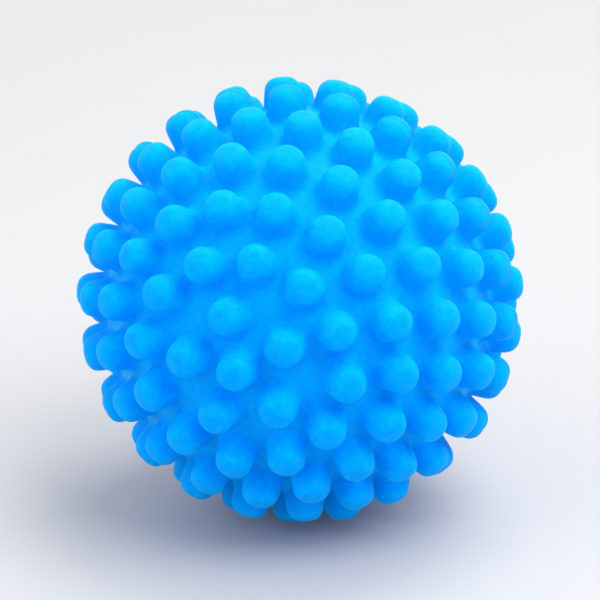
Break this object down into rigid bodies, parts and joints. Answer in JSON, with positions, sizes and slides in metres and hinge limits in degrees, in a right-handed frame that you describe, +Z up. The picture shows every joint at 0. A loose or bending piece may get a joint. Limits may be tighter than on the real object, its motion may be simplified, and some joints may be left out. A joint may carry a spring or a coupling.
{
  "type": "dryer ball",
  "caption": "Hollow soft ball covered in round-tipped nubs, tumbled with wet laundry to keep it apart and soften it.",
  "frame": {"origin": "centre of the ball", "axes": "+Z up, +Y along the mould axis towards the air plug at the back pole, -Y towards the nub at the front pole, +X to the right"},
  "size_m": [0.0747, 0.0738, 0.0748],
  "materials": {
    "skin": "satin soft PVC, bright azure, faintly translucent",
    "seat": "satin soft PVC, azure",
    "plug": "satin firm PVC, azure"
  },
  "bodies": {
    "root": {"front_half_shell": "skin", "back_half_shell": "skin", "valve_seat": "seat", "air_plug": "plug"}
  },
  "joints": []
}
